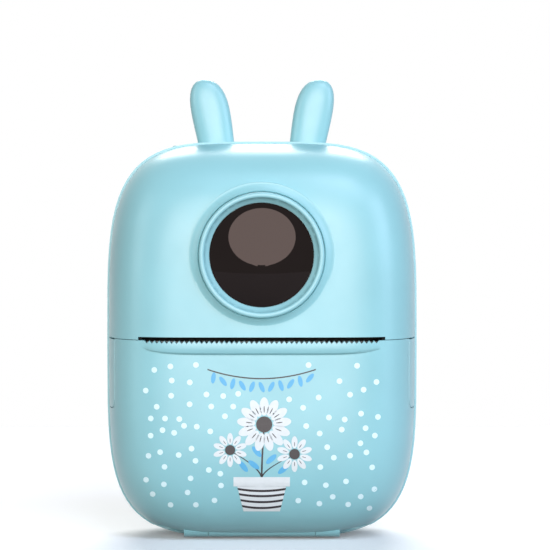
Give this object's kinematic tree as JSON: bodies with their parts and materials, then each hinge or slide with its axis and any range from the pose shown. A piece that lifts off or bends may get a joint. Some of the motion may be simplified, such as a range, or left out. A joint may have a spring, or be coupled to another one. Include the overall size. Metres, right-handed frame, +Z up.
{
  "type": "instant camera",
  "caption": "Upright pocket instant camera with rounded casing, raised round lens, two small ears, thermal print slot and a drop-down front door over its paper roll",
  "frame": {"origin": "bottom centre of the camera, on the surface it stands on", "axes": "X to the right seen from the lens side, -Y out of the lens, +Z up through the ears"},
  "size_m": [0.076, 0.0426, 0.1122],
  "materials": {
    "shell": "smooth satin moulded aqua-blue plastic",
    "black_acrylic": "polished near-black acrylic",
    "black_plastic": "fine matt black moulding",
    "grey_plastic": "plain matt grey moulding",
    "circuit_board": "green solder resist",
    "steel": "plated steel",
    "battery_foil": "foil pouch",
    "lcd_glass": "dark display glass",
    "head_ceramic": "glazed thermal print head",
    "brass": "turned brass",
    "platen_rubber": "ground black rubber",
    "white_plastic": "white moulded plastic",
    "thermal_paper": "smooth thermal paper"
  },
  "bodies": {
    "camera_body": {"front_shell": "shell", "rear_shell": "shell", "ear_left": "shell", "ear_right": "shell", "lens_ring": "shell", "lens_window": "black_acrylic", "lens_barrel": "black_plastic", "sensor_board": "circuit_board", "bay_frame": "black_plastic", "motor": "steel", "idler_pin": "steel", "head_pin": "steel", "main_board": "circuit_board", "key_switches": "grey_plastic", "battery": "battery_foil", "lcd_panel": "lcd_glass", "screen_window": "black_acrylic", "port_board": "circuit_board", "usb_socket": "steel", "card_socket": "steel", "speaker": "black_plastic", "shutter_switch": "grey_plastic", "shell_screws": "steel", "hinge_pin": "steel", "strap_bar": "steel", "head_spring_left": "steel", "head_spring_right": "steel"},
    "paper_door": {"paper_door": "shell", "platen_carrier": "black_plastic", "carrier_screws": "steel", "platen_bushes": "brass", "release_spring_left": "steel", "release_spring_right": "steel"},
    "release_left": {"release_left": "shell"},
    "release_right": {"release_right": "shell"},
    "platen": {"platen_shaft": "steel", "platen_rubber": "platen_rubber", "platen_gear": "white_plastic"},
    "print_head": {"print_head": "head_ceramic", "head_bracket": "steel"},
    "idler_gear": {"idler_gear": "white_plastic"},
    "motor_pinion": {"motor_pinion": "brass"},
    "paper_roll": {"paper_roll": "thermal_paper", "roll_core": "grey_plastic"},
    "port_cover": {"port_cover": "shell"},
    "shutter_button": {"shutter_button": "white_plastic"},
    "key_ok": {"key_ok": "white_plastic"},
    "key_up": {"key_up": "white_plastic"},
    "key_down": {"key_down": "white_plastic"},
    "key_left": {"key_left": "white_plastic"},
    "key_right": {"key_right": "white_plastic"},
    "key_menu": {"key_menu": "white_plastic"},
    "key_play": {"key_play": "white_plastic"},
    "key_print": {"key_print": "white_plastic"},
    "key_power": {"key_power": "white_plastic"}
  },
  "joints": [
    {"name": "door_hinge", "type": "hinge", "parent": "camera_body", "child": "paper_door", "pos_m": [0, -0.0076, 0.0027], "axis": [1, 0, 0], "range_deg": [0, 85]},
    {"name": "roll_spin", "type": "hinge", "parent": "camera_body", "child": "paper_roll", "pos_m": [0, -0.0006, 0.02185], "axis": [1, 0, 0], "continuous": true},
    {"name": "platen_spin", "type": "hinge", "parent": "paper_door", "child": "platen", "pos_m": [0, -0.0077, 0.0426], "axis": [1, 0, 0], "continuous": true},
    {"name": "idler_spin", "type": "hinge", "parent": "camera_body", "child": "idler_gear", "pos_m": [-0.03, 0.00379, 0.043], "axis": [1, 0, 0], "continuous": true},
    {"name": "pinion_spin", "type": "hinge", "parent": "camera_body", "child": "motor_pinion", "pos_m": [-0.03, 0.00562, 0.05334], "axis": [1, 0, 0], "continuous": true},
    {"name": "head_lift", "type": "hinge", "parent": "camera_body", "child": "print_head", "pos_m": [0, 0.00681, 0.04461], "axis": [-1, 0, 0], "range_deg": [0, 2], "stiffness_Nm_per_rad": 0.6, "deforming": ["head_spring_left", "head_spring_right"]},
    {"name": "cover_hinge", "type": "hinge", "parent": "camera_body", "child": "port_cover", "pos_m": [0.0366, 0.004, 0.0566], "axis": [0, 1, 0], "range_deg": [0, 100]},
    {"name": "shutter_press", "type": "slide", "parent": "camera_body", "child": "shutter_button", "axis": [0, 0, -1], "range_m": [0, 0.0008], "stiffness_N_per_m": 900},
    {"name": "key_ok_press", "type": "slide", "parent": "camera_body", "child": "key_ok", "axis": [0, -1, 0], "range_m": [0, 0.0004], "stiffness_N_per_m": 1200},
    {"name": "key_up_press", "type": "slide", "parent": "camera_body", "child": "key_up", "axis": [0, -1, 0], "range_m": [0, 0.0004], "stiffness_N_per_m": 1200},
    {"name": "key_down_press", "type": "slide", "parent": "camera_body", "child": "key_down", "axis": [0, -1, 0], "range_m": [0, 0.0004], "stiffness_N_per_m": 1200},
    {"name": "key_left_press", "type": "slide", "parent": "camera_body", "child": "key_left", "axis": [0, -1, 0], "range_m": [0, 0.0004], "stiffness_N_per_m": 1200},
    {"name": "key_right_press", "type": "slide", "parent": "camera_body", "child": "key_right", "axis": [0, -1, 0], "range_m": [0, 0.0004], "stiffness_N_per_m": 1200},
    {"name": "key_menu_press", "type": "slide", "parent": "camera_body", "child": "key_menu", "axis": [0, -1, 0], "range_m": [0, 0.0004], "stiffness_N_per_m": 1200},
    {"name": "key_play_press", "type": "slide", "parent": "camera_body", "child": "key_play", "axis": [0, -1, 0], "range_m": [0, 0.0004], "stiffness_N_per_m": 1200},
    {"name": "key_print_press", "type": "slide", "parent": "camera_body", "child": "key_print", "axis": [0, -1, 0], "range_m": [0, 0.0004], "stiffness_N_per_m": 1200},
    {"name": "key_power_press", "type": "slide", "parent": "camera_body", "child": "key_power", "axis": [0, -1, 0], "range_m": [0, 0.0004], "stiffness_N_per_m": 1200},
    {"name": "release_left_press", "type": "slide", "parent": "paper_door", "child": "release_left", "axis": [1, 0, 0], "range_m": [0, 0.001], "stiffness_N_per_m": 700, "deforming": ["release_spring_left"]},
    {"name": "release_right_press", "type": "slide", "parent": "paper_door", "child": "release_right", "axis": [-1, 0, 0], "range_m": [0, 0.001], "stiffness_N_per_m": 700, "deforming": ["release_spring_right"]}
  ],
  "couplings": [
    {"joint": "platen_spin", "follows": "roll_spin", "ratio": 3.125},
    {"joint": "idler_spin", "follows": "roll_spin", "ratio": -1.6667},
    {"joint": "pinion_spin", "follows": "roll_spin", "ratio": 4.1667}
  ]
}
